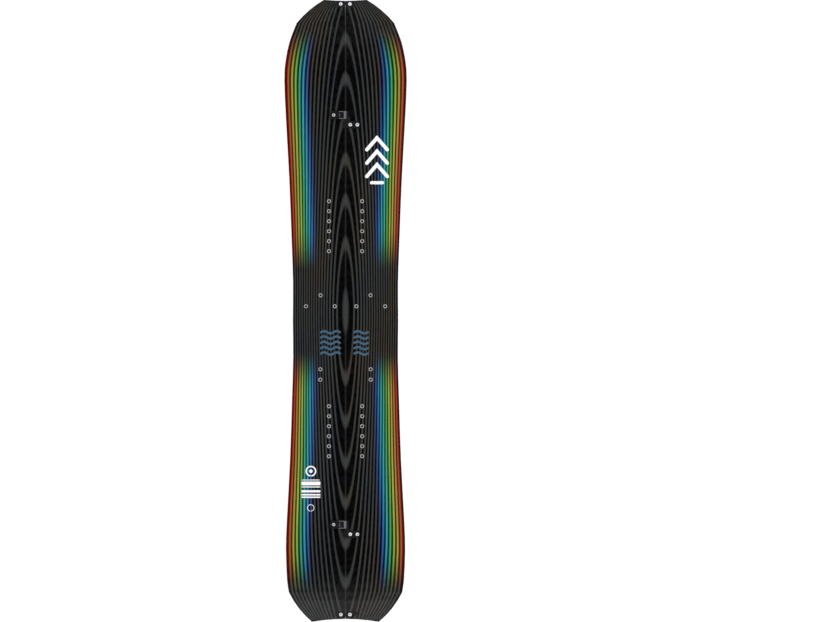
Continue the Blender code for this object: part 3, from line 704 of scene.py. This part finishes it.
def add_topsheet(prefix, side, rows, bores):
    node = f"{prefix}_topsheet"
    mesh = mesh_of(sheet_shape(rows, side), f"{node}_print", 40.0)
    piece = add_piece(f"{node}_print", mesh, LOOKS["topsheet"], BODY_OF[node], (node,))
    tool = bpy.data.objects.new("bores", bore_tool(bores))
    bpy.context.collection.objects.link(tool)
    cut = piece.modifiers.new("bores", "BOOLEAN")
    cut.operation = "DIFFERENCE"
    cut.solver = "EXACT"
    cut.object = tool
    applied(piece)
    bpy.data.objects.remove(tool)
    mesh = piece.data
    points = np.empty(len(mesh.vertices) * 3)
    mesh.vertices.foreach_get("co", points)
    for name, values in print_fields(points.reshape(-1, 3), rows).items():
        field = mesh.attributes.new(name, "FLOAT", "POINT")
        field.data.foreach_set("value", values.astype(np.float32))
    mesh.materials.clear()
    mesh.materials.append(LOOKS["topsheet"])
    return piece


# ---------------------------------------------------------------- inserts and screws


def mark_depth(piece, matrix, spots, radius, top):
    """Stores how deep each point inside a bore or socket lies."""
    mesh = piece.data
    inverse = matrix.inverted()
    depth = np.zeros(len(mesh.vertices), dtype=np.float32)
    for vertex in mesh.vertices:
        local = inverse @ vertex.co
        if any(math.hypot(local.x - x, local.y - y) < radius for x, y in spots):
            depth[vertex.index] = min(max((top - local.z) / 0.0006, 0.0), 1.0)
    field = mesh.attributes.new("depth", "FLOAT", "POINT")
    field.data.foreach_set("value", depth)


def insert_spots(node):
    """Centres of the barrels in an insert group, from the vertices of their rims."""
    points = vertices(node)
    rim = points[points[:, 2] > points[:, 2].max() - 1e-4][:, :2]
    groups = []
    for point in rim:
        near = next((g for g in groups if np.hypot(*(g[0] - point)) < 0.012), None)
        if near is None:
            groups.append([point])
        else:
            near.append(point)
    return [(np.array(g).min(axis=0) + np.array(g).max(axis=0)) / 2.0 for g in groups]




def add_inserts(node):
    """Turned barrels with a chamfered mouth and thread grooves."""
    low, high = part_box(node)
    top, floor = high.z + 0.0001, low.z + 0.0012
    shape = bmesh.new()
    for x, y in insert_spots(node):
        profile = [(0.0, low.z), (0.0060, low.z), (0.0060, low.z + 0.0008), (INSERT_RADIUS, low.z + 0.0008)]
        profile += [(INSERT_RADIUS, top - 0.0003), (INSERT_RADIUS - 0.0003, top)]
        profile.append((THREAD_RADIUS + 0.0009, top))
        z = top - 0.0009
        while z > floor + 0.0008:
            profile += [(THREAD_RADIUS, z), (THREAD_RADIUS + 0.0004, z - 0.00025)]
            z -= 0.0007
        profile += [(THREAD_RADIUS, floor), (0.0, floor)]
        turned(shape, profile, 36, Matrix.Translation((x, y, 0.0)))
    mesh = mesh_of(shape, f"{node}_turned", 30.0)
    piece = add_piece(f"{node}_turned", mesh, LOOKS["insert"], BODY_OF[node], (node,))
    mark_depth(piece, Matrix(), insert_spots(node), THREAD_RADIUS + 0.0005, top - 0.0002)
    return piece


def add_screw(node, axis=UP):
    """A low domed head with a hexagon socket."""
    matrix, low, high = stand(node, axis)
    points = np.array([matrix.inverted() @ Vector(p) for p in vertices(node)])
    head = float(np.hypot(points[:, 0], points[:, 1]).max())
    under = high - 0.0020
    shank = 0.0020
    shape = bmesh.new()
    profile = [(0.0, low), (shank - 0.0004, low), (shank, low + 0.0004), (shank, under)]
    profile += [(head - 0.0002, under), (head, under + 0.0002), (head, under + 0.0008)]
    dome = 6
    for i in range(1, dome + 1):
        angle = math.radians(90.0) * i / dome
        reach = 0.0014
        profile.append((head - reach + reach * math.cos(angle), under + 0.0008 + 0.0012 * math.sin(angle)))
    profile += [(0.0021, high), (0.00195, high - 0.0001), (0.0, high - 0.0001)]
    turned(shape, profile, 40, matrix)
    mesh = mesh_of(shape, f"{node}_turned", 35.0)
    look = LOOKS["dark_screw" if node.endswith("_base_inner_screw") else "screw"]
    piece = add_piece(f"{node}_turned", mesh, look, BODY_OF[node], (node,))
    tool_shape = bmesh.new()
    floor, rim, reach = high - 0.0013, high + 0.001, 0.0017
    turned(tool_shape, [(0.0, floor), (reach, floor), (reach, rim), (0.0, rim)], 6, matrix)
    tool = bpy.data.objects.new("socket", mesh_of(tool_shape, "socket"))
    bpy.context.collection.objects.link(tool)
    cut = piece.modifiers.new("socket", "BOOLEAN")
    cut.solver = "EXACT"
    cut.object = tool
    applied(piece)
    bpy.data.objects.remove(tool)
    piece.data.set_sharp_from_angle(angle=math.radians(35.0))
    piece.data.materials.clear()
    piece.data.materials.append(look)
    mark_depth(piece, matrix, ((0.0, 0.0),), 0.00195, high - 0.0003)
    return piece


# ---------------------------------------------------------------- ink


def bar(x0, x1, y0, y1, round_off=None, steps=6):
    """A rounded bar's outline."""
    radius = min(x1 - x0, y1 - y0) / 2.0 if round_off is None else round_off
    points = []
    for cx, cy, start in (
        (x1 - radius, y1 - radius, 0), (x0 + radius, y1 - radius, 90),
        (x0 + radius, y0 + radius, 180), (x1 - radius, y0 + radius, 270),
    ):
        for i in range(steps + 1):
            angle = math.radians(start + 90.0 * i / steps)
            points.append((cx + radius * math.cos(angle), cy + radius * math.sin(angle)))
    return points


def stroke(points, width, steps=6):
    """The outline of a round-ended pen stroke along a path."""
    path = [Vector(p) for p in points]
    left, right = [], []
    for i, p in enumerate(path):
        a, b = path[max(i - 1, 0)], path[min(i + 1, len(path) - 1)]
        before = (p - a).normalized() if i else (b - p).normalized()
        after = (b - p).normalized() if i < len(path) - 1 else before
        normal = Vector((-(before + after).y, (before + after).x)).normalized()
        reach = width / 2.0 / max(normal.dot(Vector((-before.y, before.x))), 0.4)
        left.append(p + normal * reach)
        right.append(p - normal * reach)
    caps = []
    for centre, start in ((path[-1], left[-1] - path[-1]), (path[0], right[0] - path[0])):
        base = math.atan2(start.y, start.x)
        angles = [base - math.pi * i / steps for i in range(1, steps)]
        caps.append([centre + Vector((math.cos(a), math.sin(a))) * width / 2 for a in angles])
    outline = left + caps[0] + list(reversed(right)) + caps[1]
    return [(p.x, p.y) for p in outline]


def add_ink(name, outlines, rows, body, look, lift=0.00003, thickness=0.00005):
    """Flat ink on the top sheet: outlines in millimetres, laid on the sheet's height along the board."""
    shape = bmesh.new()
    for outline in outlines:
        low = [shape.verts.new((x * MM, y * MM, 0.0)) for x, y in outline]
        high = [shape.verts.new((x * MM, y * MM, 1.0)) for x, y in outline]
        shape.faces.new(low)
        shape.faces.new(list(reversed(high)))
        for i in range(len(outline)):
            j = (i + 1) % len(outline)
            shape.faces.new((low[j], low[i], high[i], high[j]))
    ys = [v.co.y for v in shape.verts]
    for y in np.arange(min(ys), max(ys), 0.006):
        geometry = shape.verts[:] + shape.edges[:] + shape.faces[:]
        bmesh.ops.bisect_plane(shape, geom=geometry, plane_co=(0, float(y), 0), plane_no=(0, 1, 0), dist=1e-7)
    for vertex in shape.verts:
        raised = lift + thickness if vertex.co.z > 0.5 else lift
        vertex.co.z = rows.height(vertex.co.y) + raised
    mesh = mesh_of(shape, name, 30.0)
    return add_piece(name, mesh, LOOKS[look], body)


def chevron(cx, cy, reach, rise, width):
    return stroke([(cx - reach, cy - rise), (cx, cy), (cx + reach, cy - rise)], width)


def wave(cx, cy, reach, swing, width, turns=1.0, steps=16):
    path = []
    for i in range(steps + 1):
        t = i / steps
        path.append((cx - reach + 2.0 * reach * t, cy + swing * math.sin(2.0 * math.pi * turns * t)))
    return stroke(path, width)


def ring(cx, cy, radius, width, gap_angle=24.0, steps=26):
    """A ring with a small opening, drawn as one stroke."""
    path = []
    for i in range(steps + 1):
        angle = math.radians(-90.0 + gap_angle / 2.0 + (360.0 - gap_angle) * i / steps)
        path.append((cx + radius * math.cos(angle), cy + radius * math.sin(angle)))
    return stroke(path, width)


def add_marks(rows):
    """Plain generic marks in the places where the sheet carries its white and blue print."""
    right, left = rows["right"], rows["left"]
    peaks = [chevron(80.0, 440.0 - 34.0 * i, 26.0, 30.0, 9.0) for i in range(3)]
    peaks.append(bar(62.0, 98.0, 322.0, 330.0))
    add_ink("nose_mark_ink", peaks, right, "right_ski", "white_ink")
    left_waves = [wave(-38.5, -54.0 - 13.5 * i, 24.0, 3.0, 5.5, 1.5) for i in range(5)]
    add_ink("left_waves_ink", left_waves, left, "left_ski", "blue_ink")
    right_waves = [wave(39.5, -54.0 - 13.5 * i, 17.0, 3.0, 5.5, 1.0) for i in range(5)]
    add_ink("right_waves_ink", right_waves, right, "right_ski", "blue_ink")
    label = [ring(-88.0, -407.0, 12.0, 3.4), bar(-92.5, -83.5, -411.5, -402.5)]
    label += [bar(-111.0, -66.0, -430.5, -428.5), bar(-112.0, -64.0, -443.0, -433.5, 1.5)]
    label += [bar(-112.0, -64.0, -448.5, -446.0), bar(-112.0, -64.0, -461.0, -455.5, 1.2)]
    label += [bar(-112.0, -64.0, -469.0, -465.0, 1.0), bar(-112.0, -64.0, -475.0, -471.5, 1.0)]
    label += [ring(-88.5, -500.5, 8.4, 1.4)]
    add_ink("tail_label_ink", label, left, "left_ski", "white_ink")


# ---------------------------------------------------------------- assembly


def bores_for(prefix):
    """Where the top sheet is open: over the inserts and round the latch screws."""
    spots = []
    for group in ("front_binding", "rear_binding", "touring", "heel"):
        node = f"{prefix}_{group}_inserts"
        low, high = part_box(node)
        for x, y in insert_spots(node):
            spots.append((Matrix.Translation((x, y, 0.0)), 0.0051, low.z, high.z + 0.002))
    for node, axis in SCREWS.items():
        if BODY_OF[node] == f"{prefix}_ski":
            matrix, low, high = stand(node, axis)
            spots.append((matrix, 0.0023, low, high))
    return spots


def screw_axes():
    axes = {}
    for node in NODES:
        if node.endswith("_screw"):
            end = node.split("_")[0]
            joint = JOINTS.get(f"{end}_hook_swing")
            axes[node] = Vector(joint["axis"]).normalized() if joint else UP
    return axes


def add_hardware():
    for node, axis in SCREWS.items():
        add_screw(node, axis)
    for end in ("front", "rear"):
        refine(f"{end}_lever_base", "clip", 0.00035)
        refine(f"{end}_lever", "clip", 0.0008)
        refine(f"{end}_claw", "clip_bright", 0.0004)
        refine(f"{end}_catch_plate", "clip", 0.00035)
        refine(f"{end}_lever_pin", "clip_bright", 0.0002)
        refine(f"{end}_claw_pin", "clip_bright", 0.0002)
    for end in ("nose", "tail"):
        refine(f"{end}_hook", "clip", 0.0004)
        refine(f"{end}_hook_plate", "clip", 0.0002)
        refine(f"{end}_post_plate", "clip", 0.0002)
        refine(f"{end}_hook_bush", "clip_bright", 0.0001)


def dress_layers():
    """The layers keep their CAD form and get their materials."""
    for part in frame["record"]["subparts"]:
        node = NODES[part["node"]]
        if not node.hide_render:
            node.data.materials.clear()
            node.data.materials.append(LOOKS[part["material_slot"]])
            node.data.shade_smooth()
            node.data.set_sharp_from_angle(angle=math.radians(20.0))


set_stage()
LOOKS = make_materials()
SCREWS = screw_axes()
ROWS = {prefix: Rows(f"{prefix}_topsheet") for prefix, _ in SIDES}
for prefix, side in SIDES:
    add_topsheet(prefix, side, ROWS[prefix], bores_for(prefix))
    for group in ("front_binding", "rear_binding", "touring", "heel"):
        add_inserts(f"{prefix}_{group}_inserts")
add_hardware()
add_marks(ROWS)
dress_layers()
